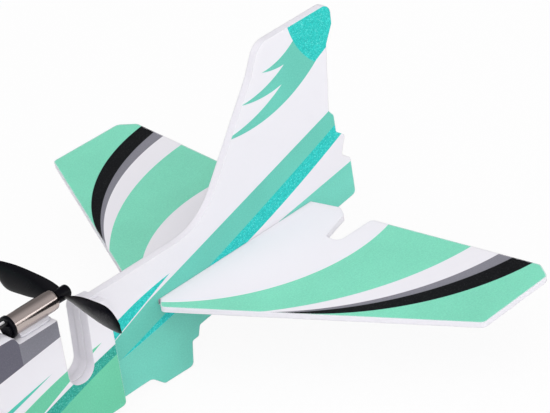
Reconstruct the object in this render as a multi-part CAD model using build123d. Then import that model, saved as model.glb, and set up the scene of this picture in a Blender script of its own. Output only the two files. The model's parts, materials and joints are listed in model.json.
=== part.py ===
"""Printed foam-sheet glider with a pusher motor set in a slot of its back.

The body is three foam sheets glued side by side: a centre sheet that carries
the fin, and a shorter sheet on each side. A coreless motor lies on the spine
and turns a two-blade propeller inside a slot cut through all three sheets. A
plastic box in the nose holds the battery, the switch and the charging socket.

Frame: +X towards the nose, +Y towards the left wing tip, +Z up. The origin is
on the flat belly, below the balance point of the wing.
"""

import os
from math import atan2, cos, pi, sin

from build123d import *

# ---- Foam sheets ----
CORE_T = 3.0
SIDE_T = 3.5
TAIL_T = 2.0
BODY_Y = CORE_T / 2 + SIDE_T

# ---- Body heights and stations ----
BOOM_Z = 41.5
SEAT_Z = 43.3
SPINE_Z = 46.6
TAIL_Z = 26.1
FIN_TOP_Z = 92.1
TAIL_END_X = -236.5
SIDE_REAR_X = -119.5
SIDE_REAR_LEAN = 0.8
STEP_X = -83.0
CANOPY_X = 8.0
CANOPY_Z = 58.5
NOSE_X = 113.0
CHIN_X = 78.0

# ---- Propeller slot ----
SLOT_REAR_X = -110.7
SLOT_FRONT_X = -98.9
SLOT_FLOOR_Z = 16.9
SLOT_LEAN = 1.6
SLOT_STEP = 0.3
SLOT_LIP_R = 3.0

# ---- Tailplane, half of it ----
TAIL_HALF_SPAN = 102.5
TAIL_APEX_X = -136.9
TAIL_TIP_LE_X = -188.0
TAIL_ROOT_TE_X = -215.2
TAIL_SLIT_GAP = 0.8

# ---- Wing ----
WING_HALF_SPAN = 200.0
WING_ROOT_LE_X = 35.0
WING_ROOT_CHORD = 95.0
WING_TIP_LE_X = 10.0
WING_TIP_CHORD = 52.0
WING_ROOT_T = 6.0
WING_TIP_T = 3.6
WING_TE_T = 1.2
WING_Z = 24.0
DIHEDRAL = 4.5
JOINER_X = 5.0
JOINER_W = 14.0
JOINER_T = 1.2
JOINER_HALF = 32.0
SPAR_R = 1.0
SPAR_X = -2.0
SPAR_START_Y = 36.0
SPAR_END_Y = 150.0

# ---- Motor ----
CAN_R = 3.5
CAN_WALL = 0.3
CAN_REAR_X = -102.6
CAN_LENGTH = 18.3
CAN_NECK = 0.12
CAN_NECK_LENGTH = 1.7
GLUE_T = 0.8
SHAFT_R = 0.4
RUNNING_GAP = 0.05
BUSH_R = 0.85
TUBE_R = 1.1
COIL_GAP = 0.3
COIL_WALL = 0.5
COIL_DISC_T = 0.8
TUBE_GAP = 1.2
COMMUTATOR_R = 0.9
COMMUTATOR_LENGTH = 2.4
PLUG_T = 0.9
END_GAP = 0.9
CAP_LIP = 0.35
CAP_FLANGE_T = 1.2
CAP_BOSS_INSET = 0.6
CAP_BOSS_LENGTH = 0.8
CAP_FLAT = 1.5
CAP_GAP = 0.3

# ---- Propeller ----
PROP_R = 29.8
PROP_PITCH = 20.6
HUB_R = 2.25
HUB_LENGTH = 5.3
HUB_GAP = 0.25
NOZZLE_LENGTH = 0.8
BLADE_T = 0.7
BLADE_SHIFT = 0.15
BLADE_RAKE = 0.065
BLADE_ANGLE = -5.0
# Share of the radius, and how far the blade reaches behind and ahead of its line.
BLADE_STATIONS = [
    (0.05, 1.5, 1.6),
    (0.15, 2.3, 3.0),
    (0.27, 2.85, 4.35),
    (0.42, 3.15, 5.75),
    (0.57, 3.25, 6.6),
    (0.72, 3.05, 7.25),
    (0.84, 2.6, 7.3),
    (0.93, 2.1, 5.8),
    (1.0, 0.7, 2.4),
]

# ---- Leads ----
LEAD_R = 0.45
LEAD_PITCH = 1.5
CHANNEL_W = 1.5
CHANNEL_Z = 38.5
CHANNEL_FRONT_X = 40.0

# ---- Power box in the nose ----
BOX_X = 46.0
BOX_Z = 9.0
BOX_LENGTH = 43.0
BOX_HEIGHT = 20.0
BOX_WALL = 1.0
BOX_RIM = 1.6
BOX_FIT = 0.1
BATTERY_GAP = 4.4
BATTERY_HEIGHT = 16.0
BATTERY_T = 6.5
BOARD_T = 1.0
BOARD_LENGTH = 12.5
SWITCH_LENGTH = 8.6
SWITCH_W = 3.6
SWITCH_TRAVEL = 2.0
KNOB_W = 1.6
KNOB_PROUD = 1.0
SLIDE_GAP = 0.1
SOCKET_LENGTH = 6.0
SOCKET_W = 4.4
LED_R = 1.0
SCREW_R = 0.7
SCREW_HEAD_R = 1.4

# ---- Nose ----
BUMPER_T = 1.8
BUMPER_REACH = 12.0
SLUG_X = 93.0
SLUG_LENGTH = 8.0
SLUG_HEIGHT = 12.0

# ---- Places and sizes that follow from the ones above ----
MOTOR_Z = SEAT_Z + GLUE_T + CAN_R
CAN_FRONT_X = CAN_REAR_X + CAN_LENGTH
PLUG_X = CAN_FRONT_X - PLUG_T
COMMUTATOR_FRONT_X = PLUG_X - END_GAP
COIL_FRONT_X = COMMUTATOR_FRONT_X - COMMUTATOR_LENGTH
TUBE_FRONT_X = COIL_FRONT_X - COIL_DISC_T - TUBE_GAP
COIL_R = CAN_R - CAN_WALL - COIL_GAP
MAGNET_R = COIL_R - COIL_WALL - COIL_GAP
CAP_FLANGE_R = CAN_R + CAP_LIP
CAP_FLANGE_X = CAN_FRONT_X + CAP_FLANGE_T
CAP_BOSS_R = CAN_R - CAP_BOSS_INSET
CAP_FRONT_X = CAP_FLANGE_X + CAP_BOSS_LENGTH
LEAD_Z = MOTOR_Z + CAP_FLAT + LEAD_R
HUB_FRONT_X = CAN_REAR_X - NOZZLE_LENGTH - HUB_GAP
PROP_X = HUB_FRONT_X - HUB_LENGTH / 2
BOX_FRONT_X = BOX_X + BOX_LENGTH
BOX_MID_Z = BOX_Z + BOX_HEIGHT / 2
BOX_TOP_Z = BOX_Z + BOX_HEIGHT
BOARD_X = BOX_X + BOX_WALL + 2.0
BOARD_END_X = BOARD_X + BOARD_LENGTH
BOARD_TOP_Y = BOARD_T / 2
SCREW_X = BOX_FRONT_X - BOX_WALL - 2.2
BATTERY_FRONT_X = SCREW_X - SCREW_R - 1.2
BATTERY_REAR_X = BOARD_END_X + BATTERY_GAP


def outline(corners):
    """Closed face through (x, z, radius) corners, each rounded to its radius."""
    points = [(x, z) for x, z, _ in corners]
    radii = [radius for _, _, radius in corners]
    return make_face(FilletPolyline(*points, radius=radii, close=True))


def upright(face, low_y, high_y):
    """Stand a side-view face up, filling it from low_y to high_y."""
    return extrude(Plane.XZ.offset(-high_y) * face, amount=high_y - low_y)


def block(low, high):
    """Box between two opposite corners."""
    size = [b - a for a, b in zip(low, high)]
    middle = [(a + b) / 2 for a, b in zip(low, high)]
    return Pos(*middle) * Box(*size)


def rod_x(radius, x0, x1, y=0.0, z=MOTOR_Z):
    """Round bar along X, on the motor's axis unless told otherwise."""
    bar = Cylinder(radius, x1 - x0, align=(Align.CENTER, Align.CENTER, Align.MIN))
    return Pos(x0, y, z) * Rot(0, 90, 0) * bar


def rod_y(radius, y0, y1, x, z):
    """Round bar along Y."""
    bar = Cylinder(radius, y1 - y0, align=(Align.CENTER, Align.CENTER, Align.MIN))
    return Pos(x, y0, z) * Rot(-90, 0, 0) * bar


# ---- Body sheets ----

def nose_corners():
    """Corners from the motor's seat, over the canopy and round the nose to the belly."""
    return [
        (STEP_X, SEAT_Z, 1.0),
        (STEP_X + 1.5, SPINE_Z, 2.0),
        (CANOPY_X - 40, SPINE_Z + 2, 40),
        (CANOPY_X, CANOPY_Z, 40),
        (CANOPY_X + 40, CANOPY_Z - 6, 45),
        (NOSE_X - 25, 36, 35),
        (NOSE_X, 23, 8),
        (NOSE_X - 3, 9, 8),
        (CHIN_X, 0, 30),
    ]


def tail_corners():
    """Corners of the tail skid, the boom's end, the fin's trailing edge and the fin."""
    return [
        (-133.5, 0.0, 4.0),
        (-138.5, -4.6, 2.0),
        (-151.7, -5.0, 1.8),
        (-153.2, 3.9, 0.8),
        (-156.2, 4.2, 0.8),
        (-157.5, 7.9, 0.8),
        (TAIL_END_X, 18.8, 1.8),
        (TAIL_END_X, 33.0, 2.2),
        (-232.7, 35.8, 1.2),
        (-235.5, 42.4, 1.4),
        (-231.7, 45.4, 0.8),
        (-231.7, 51.8, 1.6),
        (-229.7, 54.3, 1.4),
        (-233.2, 78.2, 1.4),
        (-237.0, 84.4, 2.0),
        (-237.4, FIN_TOP_Z, 3.6),
        (-203.2, FIN_TOP_Z - 0.4, 7.0),
        (-197.5, 81.6, 9.0),
        (-166.2, BOOM_Z, 24.0),
        (SLOT_REAR_X, BOOM_Z, 0.4),
        (SLOT_FRONT_X, SEAT_Z, 0.4),
    ]


def side_corners():
    """Rear corners of a side sheet, which ends almost square behind the propeller."""
    return [
        (SIDE_REAR_X + SIDE_REAR_LEAN, 0.0, 1.6),
        (SIDE_REAR_X, BOOM_Z - 1.4, 1.0),
        (SLOT_REAR_X, BOOM_Z - 0.3, 0.4),
        (SLOT_FRONT_X, SEAT_Z, 0.4),
    ]


def propeller_slot(inset):
    """Slot that the blades turn in. The centre sheet's slot is cut a little smaller."""
    rear, front = SLOT_REAR_X + inset, SLOT_FRONT_X - inset
    floor, top = SLOT_FLOOR_Z + inset, SEAT_Z + 3
    curve = (front - rear) * 0.44
    corners = [
        (rear - 2 * SLOT_LIP_R, top, 0),
        (rear - 2 * SLOT_LIP_R, BOOM_Z + 1, 0),
        (rear, BOOM_Z - 0.2, SLOT_LIP_R),
        (rear + SLOT_LEAN, floor, curve),
        (front + SLOT_LEAN / 4, floor, curve),
        (front, top, 0),
    ]
    return upright(outline(corners), -BODY_Y - 1, BODY_Y + 1)


def motor_groove():
    """Hollow in the step ahead of the motor, clear of its end cap."""
    flange = rod_x(CAP_FLANGE_R + CAP_GAP, CAN_FRONT_X - 1, CAP_FLANGE_X + CAP_GAP)
    boss = rod_x(CAP_BOSS_R + CAP_GAP, CAN_FRONT_X, CAP_FRONT_X + CAP_GAP)
    return flange + boss


def lead_line(end_x):
    """Route of the motor leads in side view, from the end cap into the power box."""
    points = [
        (CAP_FLANGE_X, LEAD_Z),
        (CAP_FRONT_X + 5, LEAD_Z),
        (CAP_FRONT_X + 19, CHANNEL_Z),
        (CHANNEL_FRONT_X, CHANNEL_Z),
        (CHANNEL_FRONT_X, BOX_MID_Z),
        (end_x, BOX_MID_Z),
    ]
    return FilletPolyline(*points, radius=[6, 6, 5, 3.6])


def lead_channel():
    """Slit in the centre sheet that both motor leads lie in."""
    line = trace(lead_line(BOX_X + BOX_WALL), line_width=CHANNEL_W)
    return upright(line, -CORE_T / 2, CORE_T / 2)


def box_window():
    """Window for the power box, through all three sheets."""
    low = (BOX_X - BOX_FIT, -BODY_Y - 1, BOX_Z - BOX_FIT)
    high = (BOX_FRONT_X + BOX_FIT, BODY_Y + 1, BOX_TOP_Z + BOX_FIT)
    return block(low, high)


def fuselage_core():
    """Centre sheet from nose to tail, with the fin, the tailplane's slit and the lead slit."""
    sheet = upright(outline(tail_corners() + nose_corners()), -CORE_T / 2, CORE_T / 2)
    slit = block(
        (TAIL_ROOT_TE_X, -CORE_T, TAIL_Z - TAIL_T),
        (TAIL_APEX_X - 6.3 + TAIL_SLIT_GAP, CORE_T, TAIL_Z),
    )
    sheet -= slit + propeller_slot(SLOT_STEP) + box_window()
    sheet -= motor_groove() + lead_channel() + nose_slug()
    return sheet - wing_hole()


def fuselage_side(side):
    """Side sheet, glued to the centre sheet from the nose to behind the propeller."""
    face = outline(side_corners() + nose_corners())
    low_y, high_y = sorted((side * CORE_T / 2, side * BODY_Y))
    sheet = upright(face, low_y, high_y)
    sheet -= propeller_slot(0) + box_window() + motor_groove()
    return sheet - wing_hole()


def nose_slug():
    """Steel slug between the side sheets that brings the balance point forward."""
    low = (SLUG_X, -CORE_T / 2, BOX_MID_Z - SLUG_HEIGHT / 2)
    high = (SLUG_X + SLUG_LENGTH, CORE_T / 2, BOX_MID_Z + SLUG_HEIGHT / 2)
    return block(low, high)


def nose_bumper():
    """Soft strip wrapped round the tip of the nose."""
    face = outline(side_corners() + nose_corners())
    strip = offset(face, BUMPER_T, kind=Kind.ARC) - face
    ring = upright(strip, -BODY_Y, BODY_Y)
    keep = block(
        (NOSE_X - BUMPER_REACH, -BODY_Y - 1, -BUMPER_T - 1),
        (NOSE_X + BUMPER_T + 1, BODY_Y + 1, CANOPY_Z),
    )
    return ring & keep


# ---- Tailplane ----

def tailplane():
    """One sheet through the slit in the core, with a rounded notch beside the fin."""
    sweep_slope = (TAIL_APEX_X - TAIL_TIP_LE_X) / TAIL_HALF_SPAN
    root_y = 5.4
    half = [
        (TAIL_APEX_X - 6.3, 1.8, 1.0),
        (TAIL_APEX_X - sweep_slope * root_y, root_y, 2.0),
        (TAIL_TIP_LE_X, TAIL_HALF_SPAN, 2.2),
        (TAIL_TIP_LE_X - 31.5, TAIL_HALF_SPAN - 0.4, 2.5),
        (TAIL_TIP_LE_X - 35.8, TAIL_HALF_SPAN - 6.6, 2.5),
        (TAIL_ROOT_TE_X - 1.6, 28.4, 1.6),
        (TAIL_ROOT_TE_X + 14.6, 28.2, 2.6),
        (TAIL_ROOT_TE_X + 14.4, 22.0, 2.2),
        (TAIL_ROOT_TE_X + 0.8, 17.9, 2.6),
        (TAIL_ROOT_TE_X - 2.2, 13.4, 2.2),
        (TAIL_ROOT_TE_X, 1.6, 0.4),
    ]
    mirrored = [(x, -y, radius) for x, y, radius in reversed(half)]
    return Pos(0, 0, TAIL_Z) * extrude(outline(half + mirrored), amount=-TAIL_T)


# ---- Wing ----

def wing_section(y, lead_x, chord, thickness):
    """Wing section at y: a crowned top over a nearly flat bottom."""
    top = Bezier((0, 0), (0, 0.8 * thickness), (0.42 * chord, 1.2 * thickness), (chord, WING_TE_T))
    edge = Line((chord, WING_TE_T), (chord, 0))
    bottom = Bezier((chord, 0), (0.35 * chord, -0.1 * thickness), (0, -0.5 * thickness), (0, 0))
    face = make_face([top, edge, bottom])
    return Plane(origin=(lead_x, y, 0), x_dir=(-1, 0, 0), z_dir=(0, 1, 0)) * face


def wing_blank():
    """Left wing panel lying flat, a little longer than needed at its root."""
    start = -3.0
    span_share = start / WING_HALF_SPAN
    start_x = WING_ROOT_LE_X + (WING_TIP_LE_X - WING_ROOT_LE_X) * span_share
    start_chord = WING_ROOT_CHORD + (WING_TIP_CHORD - WING_ROOT_CHORD) * span_share
    root = wing_section(start, start_x, start_chord, WING_ROOT_T)
    tip = wing_section(WING_HALF_SPAN, WING_TIP_LE_X, WING_TIP_CHORD, WING_TIP_T)
    tip_te_x = WING_TIP_LE_X - WING_TIP_CHORD
    plan = outline([
        (start_x + 5, start, 0),
        (WING_TIP_LE_X + 0.2, WING_HALF_SPAN, 22),
        (tip_te_x - 0.2, WING_HALF_SPAN, 12),
        (start_x - start_chord - 5, start, 0),
    ])
    return loft([root, tip]) & extrude(plan, amount=2 * WING_ROOT_T, both=True)


def raised(piece):
    """Tilt a flat left-hand piece to the dihedral and lift it to the wing's height."""
    return Pos(0, 0, WING_Z) * Rot(DIHEDRAL, 0, 0) * piece


def left_half(piece):
    """Part of a piece that lies left of the centre plane."""
    size = 3 * WING_HALF_SPAN
    return piece & block((-size, 0, -size), (size, size, size))


def spar_blank():
    """Carbon rod along the panel, lying flat."""
    return rod_y(SPAR_R, SPAR_START_Y, SPAR_END_Y, SPAR_X, SPAR_R * 0.2)


def wing_hole():
    """Hole that the wing's roots fill in the three sheets."""
    panel = left_half(raised(wing_blank()))
    near = panel & block((-500, -1, -500), (500, BODY_Y + 2, 500))
    return near + mirror(near, about=Plane.XZ)


def wing_joiner():
    """Bent plastic strip that sets the dihedral, buried in both wing roots."""
    rise = WING_ROOT_T * 0.35
    flat = block(
        (JOINER_X - JOINER_W / 2, -3, rise - JOINER_T / 2),
        (JOINER_X + JOINER_W / 2, JOINER_HALF, rise + JOINER_T / 2),
    )
    half = left_half(raised(flat))
    return half + mirror(half, about=Plane.XZ)


def left_wing():
    """Left wing panel, grooved below for its spar and slit at the root for the joiner."""
    groove = spar_blank() + block(
        (SPAR_X - SPAR_R, SPAR_START_Y, -WING_ROOT_T),
        (SPAR_X + SPAR_R, SPAR_END_Y, SPAR_R * 0.2),
    )
    return left_half(raised(wing_blank() - groove)) - wing_joiner()


# ---- Motor ----

def motor_can():
    """Drawn steel can, closed behind, with the tube that carries magnet and bushes."""
    neck = rod_x(CAN_R - CAN_NECK, CAN_REAR_X, CAN_REAR_X + CAN_NECK_LENGTH)
    rear_edge = neck.edges().filter_by(GeomType.CIRCLE).sort_by(Axis.X)[0]
    neck = fillet(rear_edge, 0.7)
    can = neck + rod_x(CAN_R, CAN_REAR_X + CAN_NECK_LENGTH, CAN_FRONT_X)
    can -= rod_x(CAN_R - CAN_WALL, CAN_REAR_X + 0.5, CAN_FRONT_X)
    nozzle = rod_x(1.4, CAN_REAR_X - NOZZLE_LENGTH, CAN_REAR_X)
    tube = rod_x(TUBE_R, CAN_REAR_X + 0.5, TUBE_FRONT_X)
    return can + nozzle + tube - rod_x(BUSH_R, CAN_REAR_X - 1, TUBE_FRONT_X + 1)


def motor_bushes():
    """Two brass bushes, one at each end of the can's inner tube."""
    blank = rod_x(BUSH_R, CAN_REAR_X - NOZZLE_LENGTH, CAN_REAR_X + 0.7)
    blank += rod_x(BUSH_R, TUBE_FRONT_X - 1.5, TUBE_FRONT_X)
    return blank - rod_x(SHAFT_R + RUNNING_GAP, CAN_REAR_X - 1, TUBE_FRONT_X + 1)


def motor_magnet():
    """Ring magnet fixed on the can's inner tube."""
    start = CAN_REAR_X + 1.0
    end = TUBE_FRONT_X - 0.2
    return rod_x(MAGNET_R, start, end) - rod_x(TUBE_R, start - 1, end + 1)


def motor_coil():
    """Wound cup that turns between magnet and can, with its end disc on the shaft."""
    start = CAN_REAR_X + 1.2
    inside = rod_x(COIL_R - COIL_WALL, start - 1, COIL_FRONT_X - COIL_DISC_T)
    return rod_x(COIL_R, start, COIL_FRONT_X) - inside - rod_x(SHAFT_R, start - 1, COIL_FRONT_X + 1)


def commutator():
    """Copper commutator on the shaft, against the coil's disc."""
    ring = rod_x(COMMUTATOR_R, COIL_FRONT_X, COMMUTATOR_FRONT_X)
    return ring - rod_x(SHAFT_R, COIL_FRONT_X - 1, COMMUTATOR_FRONT_X + 1)


def motor_shaft():
    """Steel shaft from the commutator to the propeller's hub."""
    return rod_x(SHAFT_R, PROP_X - HUB_LENGTH / 2 + 0.8, COMMUTATOR_FRONT_X)


def motor_end_cap():
    """Black end cap: a plug, a flange over the can's rim and a boss with a flat for the leads."""
    plug = rod_x(CAN_R - CAN_WALL, PLUG_X, CAN_FRONT_X)
    flange = rod_x(CAP_FLANGE_R, CAN_FRONT_X, CAP_FLANGE_X)
    flange = fillet(flange.edges().filter_by(GeomType.CIRCLE).sort_by(Axis.X)[-1], 0.4)
    boss = rod_x(CAP_BOSS_R, CAP_FLANGE_X, CAP_FRONT_X)
    boss = fillet(boss.edges().filter_by(GeomType.CIRCLE).sort_by(Axis.X)[-1], 0.3)
    low = (CAP_FLANGE_X, -CAN_R, MOTOR_Z + CAP_FLAT)
    high = (CAP_FRONT_X + 1, CAN_R, MOTOR_Z + CAN_R)
    return plug + flange + boss - block(low, high)


def motor_brushes():
    """Two leaf brushes on the end cap, one each side of the commutator."""
    gap = COMMUTATOR_R + RUNNING_GAP
    low = (PLUG_X - 2.0, -0.6, MOTOR_Z + gap)
    high = (PLUG_X, 0.6, MOTOR_Z + gap + 0.2)
    upper = block(low, high)
    return upper + Pos(0, 0, -2 * gap - 0.2) * upper


def motor_glue_bed():
    """Bed of glue between the can and the foam, moulded to the can's underside."""
    bed = block(
        (SLOT_FRONT_X + 1, -2.6, SEAT_Z),
        (CAN_FRONT_X - 1.5, 2.6, SEAT_Z + GLUE_T + 0.8),
    )
    top_edges = bed.edges().filter_by(Axis.X).group_by(Axis.Z)[-1]
    bed = chamfer(top_edges, 0.5)
    return bed - rod_x(CAN_R, SLOT_FRONT_X, CAN_FRONT_X)


def motor_lead(side):
    """Insulated motor lead, round in section, along its route."""
    path = Plane.XZ.offset(-side * LEAD_PITCH / 2) * lead_line(BOARD_X)
    start = path @ 0
    return sweep(Plane(origin=start, z_dir=path % 0) * Circle(LEAD_R), path=path)


# ---- Propeller ----

def blade_section(share, behind, ahead):
    """Cambered section of a blade that points along +Y, at a share of its radius."""
    radius = share * PROP_R
    chord = behind + ahead
    back = BLADE_T * 0.6 + chord * 0.08
    belly = back - BLADE_T * (1.3 - 0.5 * share)
    quarter = chord / 4
    top = Bezier((-behind, 0), (quarter - behind, back), (ahead - quarter, back), (ahead, 0))
    bottom = Bezier((ahead, 0), (ahead - quarter, belly), (quarter - behind, belly), (-behind, 0))
    angle = atan2(PROP_PITCH, 2 * pi * max(radius, HUB_R))
    place = (BLADE_SHIFT + BLADE_RAKE * radius, radius, 0)
    plane = Plane(origin=place, x_dir=(sin(angle), 0, cos(angle)), z_dir=(0, 1, 0))
    return plane * make_face([top, bottom])


def blade():
    """One blade, twisted so that its pitch stays the same from the hub to the tip."""
    return loft([blade_section(*station) for station in BLADE_STATIONS])


def propeller():
    """Hub with two blades half a turn apart."""
    hub = rod_x(HUB_R, -HUB_LENGTH / 2, HUB_LENGTH / 2, z=0)
    hub = fillet(hub.edges().filter_by(GeomType.CIRCLE).sort_by(Axis.X)[0], 0.9)
    one = blade()
    screw = hub + one + Rot(180, 0, 0) * one
    screw -= rod_x(SHAFT_R, -HUB_LENGTH / 2 + 0.8, HUB_LENGTH, z=0)
    return Pos(PROP_X, 0, MOTOR_Z) * Rot(BLADE_ANGLE, 0, 0) * screw


# ---- Power box ----

def box_face(margin):
    """Side-view face of the box, grown by a margin, with rounded corners."""
    low_x, high_x = BOX_X - margin, BOX_FRONT_X + margin
    low_z, high_z = BOX_Z - margin, BOX_TOP_Z + margin
    radius = 0.6 + max(margin, 0)
    corners = [(low_x, low_z), (low_x, high_z), (high_x, high_z), (high_x, low_z)]
    return outline([(x, z, radius) for x, z in corners])


def post_places():
    """Places of the four posts that carry the board."""
    near = BOARD_X + 1.4
    far = BOARD_END_X - 1.4
    reach = BATTERY_HEIGHT / 2 - 1.0
    return [(x, BOX_MID_Z + side * reach) for x in (near, far) for side in (-1, 1)]


def power_case():
    """Tub pushed in from the right, with a rim outside the foam and posts inside."""
    tub = upright(box_face(0), -BODY_Y, BODY_Y)
    tub -= upright(box_face(-BOX_WALL), -BODY_Y + BOX_WALL, BODY_Y + 1)
    tub += upright(box_face(BOX_RIM), -BODY_Y - BOX_WALL, -BODY_Y)
    for x, z in post_places():
        tub += rod_y(0.9, -BODY_Y, -BOARD_T / 2, x, z)
    tub += rod_y(SCREW_R + 1.0, -BODY_Y, BODY_Y - 0.1, SCREW_X, BOX_MID_Z)
    tub -= rod_y(SCREW_R, -BODY_Y + 2, BODY_Y + 1, SCREW_X, BOX_MID_Z)
    for side in (-1, 1):
        hole_y = side * LEAD_PITCH / 2
        tub -= rod_x(LEAD_R + 0.1, BOX_X - 2, BOX_X + 2, y=hole_y, z=BOX_MID_Z)
    return tub


def switch_place():
    """Centre of the slide switch on the board."""
    return BOARD_X + BOARD_LENGTH / 2, BOX_MID_Z + 4.6


def socket_place():
    """Centre of the charging socket on the board."""
    return BOARD_X + BOARD_LENGTH / 2 - 1.5, BOX_MID_Z - 4.6


def led_place():
    """Centre of the lamp, beside the socket."""
    return BOARD_END_X - 1.6, BOX_MID_Z - 4.6


def power_case_lid():
    """Lid on the left, with windows for the switch, the socket and the lamp."""
    lid = upright(box_face(BOX_RIM), BODY_Y, BODY_Y + BOX_WALL)
    outer_edges = lid.edges().group_by(Axis.Y)[-1]
    lid = fillet(outer_edges, 0.35)
    x, z = switch_place()
    window = (KNOB_W + SWITCH_TRAVEL) / 2 + 0.3
    lid -= block((x - window, 0, z - KNOB_W / 2 - 0.3), (x + window, 9, z + KNOB_W / 2 + 0.3))
    x, z = socket_place()
    reach_x, reach_z = SOCKET_LENGTH / 2 + BOX_FIT, SOCKET_W / 2 + BOX_FIT
    lid -= block((x - reach_x, 0, z - reach_z), (x + reach_x, 9, z + reach_z))
    x, z = led_place()
    lid -= rod_y(LED_R + BOX_FIT, 0, 9, x, z)
    lid -= rod_y(SCREW_R + 0.1, 0, 9, SCREW_X, BOX_MID_Z)
    return lid - rod_y(SCREW_HEAD_R + 0.1, BODY_Y + 0.4, 9, SCREW_X, BOX_MID_Z)


def case_screw():
    """Pan-head screw that holds the lid, with a cross recess."""
    x, z = SCREW_X, BOX_MID_Z
    head = rod_y(SCREW_HEAD_R, BODY_Y + 0.4, BODY_Y + 1.2, x, z)
    head = fillet(head.edges().filter_by(GeomType.CIRCLE).sort_by(Axis.Y)[-1], 0.3)
    shank = rod_y(SCREW_R, BODY_Y - 4, BODY_Y + 0.4, x, z)
    bar = block((x - 0.9, BODY_Y + 0.8, z - 0.18), (x + 0.9, BODY_Y + 2, z + 0.18))
    cross = bar + Pos(x, 0, z) * Rot(0, 90, 0) * Pos(-x, 0, -z) * bar
    return head + shank - cross


def battery():
    """Lithium pouch cell lying on the floor of the tub."""
    floor = -BODY_Y + BOX_WALL
    low = (BATTERY_REAR_X, floor, BOX_MID_Z - BATTERY_HEIGHT / 2)
    high = (BATTERY_FRONT_X, floor + BATTERY_T, BOX_MID_Z + BATTERY_HEIGHT / 2)
    cell = block(low, high)
    return fillet(cell.edges().filter_by(Axis.Z), min(1.6, BATTERY_T * 0.3))


def battery_lead(side):
    """Short lead from a battery tab to the board's front edge."""
    return rod_x(LEAD_R, BOARD_END_X, BATTERY_REAR_X, z=BOX_MID_Z + side * 3.0)


def circuit_board():
    """Board on the four posts, upright in the box."""
    reach = BATTERY_HEIGHT / 2 + 0.4
    low = (BOARD_X, -BOARD_T / 2, BOX_MID_Z - reach)
    high = (BOARD_END_X, BOARD_T / 2, BOX_MID_Z + reach)
    return block(low, high)


def switch_slide_face(grow):
    """Half sizes in X and Z of the foot that slides inside the switch."""
    return KNOB_W / 2 + 0.7 + grow, SWITCH_W / 2 - 0.7 + grow


def power_switch_body():
    """Switch housing on the board, hollow for its sliding foot."""
    x, z = switch_place()
    reach_x, reach_z = SWITCH_LENGTH / 2, SWITCH_W / 2
    body = block((x - reach_x, BOARD_TOP_Y, z - reach_z), (x + reach_x, BODY_Y, z + reach_z))
    foot_x, foot_z = switch_slide_face(SLIDE_GAP)
    foot_x += SWITCH_TRAVEL / 2
    body -= block((x - foot_x, BODY_Y - 2.4, z - foot_z), (x + foot_x, BODY_Y - 0.6, z + foot_z))
    neck_x = (KNOB_W + SWITCH_TRAVEL) / 2 + SLIDE_GAP
    neck_z = KNOB_W / 2 + SLIDE_GAP
    return body - block((x - neck_x, BODY_Y - 1, z - neck_z), (x + neck_x, 9, z + neck_z))


def power_switch_slider():
    """Knob with its foot, shown at the off end of its travel."""
    x, z = switch_place()
    x -= SWITCH_TRAVEL / 2
    foot_x, foot_z = switch_slide_face(0)
    foot = block(
        (x - foot_x, BODY_Y - 2.3, z - foot_z),
        (x + foot_x, BODY_Y - 0.7, z + foot_z),
    )
    top_y = BODY_Y + BOX_WALL + KNOB_PROUD
    half = KNOB_W / 2
    knob = block((x - half, BODY_Y - 1, z - half), (x + half, top_y, z + half))
    rim = knob.edges().group_by(Axis.Y)[-1]
    return foot + chamfer(rim, 0.25)


def charging_socket():
    """Socket for the charging lead, open on the lid's side, with two contact pins."""
    x, z = socket_place()
    reach_x, reach_z = SOCKET_LENGTH / 2, SOCKET_W / 2
    face_y = BODY_Y + BOX_WALL
    shell = block((x - reach_x, BOARD_TOP_Y, z - reach_z), (x + reach_x, face_y, z + reach_z))
    mouth = block(
        (x - reach_x + 0.6, face_y - 3.6, z - reach_z + 0.6),
        (x + reach_x - 0.6, face_y + 1, z + reach_z - 0.6),
    )
    shell -= mouth
    for side in (-1, 1):
        pin_x = x + side * reach_x * 0.42
        low = (pin_x - 0.25, face_y - 3.7, z - 0.25)
        shell += block(low, (pin_x + 0.25, face_y - 1.0, z + 0.25))
    return shell


def status_led():
    """Domed lamp that shows through the lid."""
    x, z = led_place()
    lamp = rod_y(LED_R, BOARD_TOP_Y, BODY_Y + BOX_WALL + 0.3, x, z)
    return fillet(lamp.edges().filter_by(GeomType.CIRCLE).sort_by(Axis.Y)[-1], LED_R * 0.9)


def build_nodes():
    """Every sub-part by name, in its place on the glider."""
    left = left_wing()
    left_spar = raised(spar_blank())
    return {
        "fuselage_core": fuselage_core(),
        "left_fuselage_side": fuselage_side(1),
        "right_fuselage_side": fuselage_side(-1),
        "nose_bumper": nose_bumper(),
        "nose_slug": nose_slug(),
        "tailplane": tailplane(),
        "left_wing": left,
        "right_wing": mirror(left, about=Plane.XZ),
        "wing_joiner": wing_joiner(),
        "left_wing_spar": left_spar,
        "right_wing_spar": mirror(left_spar, about=Plane.XZ),
        "motor_can": motor_can(),
        "motor_end_cap": motor_end_cap(),
        "motor_brushes": motor_brushes(),
        "motor_bushes": motor_bushes(),
        "motor_magnet": motor_magnet(),
        "motor_glue_bed": motor_glue_bed(),
        "motor_lead_white": motor_lead(-1),
        "motor_lead_black": motor_lead(1),
        "motor_coil": motor_coil(),
        "commutator": commutator(),
        "motor_shaft": motor_shaft(),
        "propeller": propeller(),
        "power_case": power_case(),
        "power_case_lid": power_case_lid(),
        "case_screw": case_screw(),
        "battery": battery(),
        "battery_lead_red": battery_lead(1),
        "battery_lead_black": battery_lead(-1),
        "circuit_board": circuit_board(),
        "power_switch_body": power_switch_body(),
        "power_switch_slider": power_switch_slider(),
        "charging_socket": charging_socket(),
        "status_led": status_led(),
    }


def main():
    os.makedirs("parts", exist_ok=True)
    for name, shape in build_nodes().items():
        export_step(shape, f"parts/{name}.step")
        print(name, len(shape.solids()), "solid,", round(shape.volume, 2), "mm3")


main()
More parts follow.
